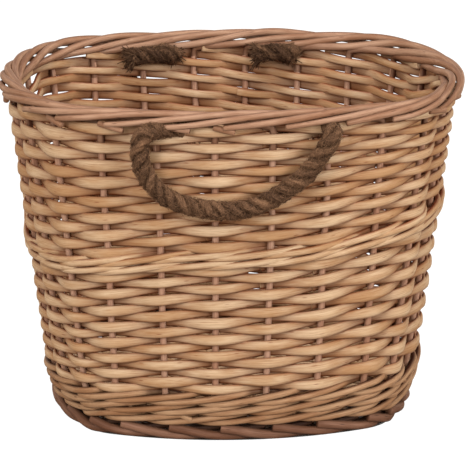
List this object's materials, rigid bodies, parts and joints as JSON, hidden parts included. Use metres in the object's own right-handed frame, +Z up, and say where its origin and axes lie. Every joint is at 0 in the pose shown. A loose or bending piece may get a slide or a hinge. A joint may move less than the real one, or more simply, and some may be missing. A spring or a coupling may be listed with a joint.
{
  "type": "wicker log basket",
  "caption": "Tapered oval willow log basket with a rolled border, a plaited foot and two rope handles that hang from its long sides.",
  "frame": {"origin": "on the floor under the middle of the basket", "axes": "+Z up, +X along the long side, -Y towards the front handle"},
  "size_m": [0.5056, 0.4498, 0.37],
  "materials": {
    "willow": "peeled buff willow, satin, with brown growth marks",
    "border_willow": "thicker buff willow rods, slightly grey and pink",
    "foot_willow": "darker red-brown willow rods",
    "rope": "dark brown three-strand hemp rope, hairy and matt"
  },
  "bodies": {
    "basket": {"stake_01": "willow", "stake_02": "willow", "stake_03": "willow", "stake_04": "willow", "stake_05": "willow", "stake_06": "willow", "stake_07": "willow", "stake_08": "willow", "stake_09": "willow", "stake_10": "willow", "stake_11": "willow", "stake_12": "willow", "stake_13": "willow", "stake_14": "willow", "stake_15": "willow", "stake_16": "willow", "stake_17": "willow", "stake_18": "willow", "stake_19": "willow", "stake_20": "willow", "stake_21": "willow", "stake_22": "willow", "stake_23": "willow", "stake_24": "willow", "upper_siding": "willow", "middle_waling": "willow", "lower_siding": "willow", "upsett_waling": "willow", "floor_weave": "willow", "floor_sticks": "willow", "border": "border_willow", "foot_border": "foot_willow", "front_handle_left_end": "rope", "front_handle_right_end": "rope", "back_handle_left_end": "rope", "back_handle_right_end": "rope"},
    "front_rope": {"front_handle": "rope"},
    "back_rope": {"back_handle": "rope"}
  },
  "joints": [
    {"name": "front_handle_swing", "type": "hinge", "parent": "basket", "child": "front_rope", "pos_m": [0, -0.21286, 0.3425], "axis": [-1, 0, 0], "range_deg": [0, 140]},
    {"name": "back_handle_swing", "type": "hinge", "parent": "basket", "child": "back_rope", "pos_m": [0, 0.21286, 0.3425], "axis": [1, 0, 0], "range_deg": [0, 140]}
  ]
}
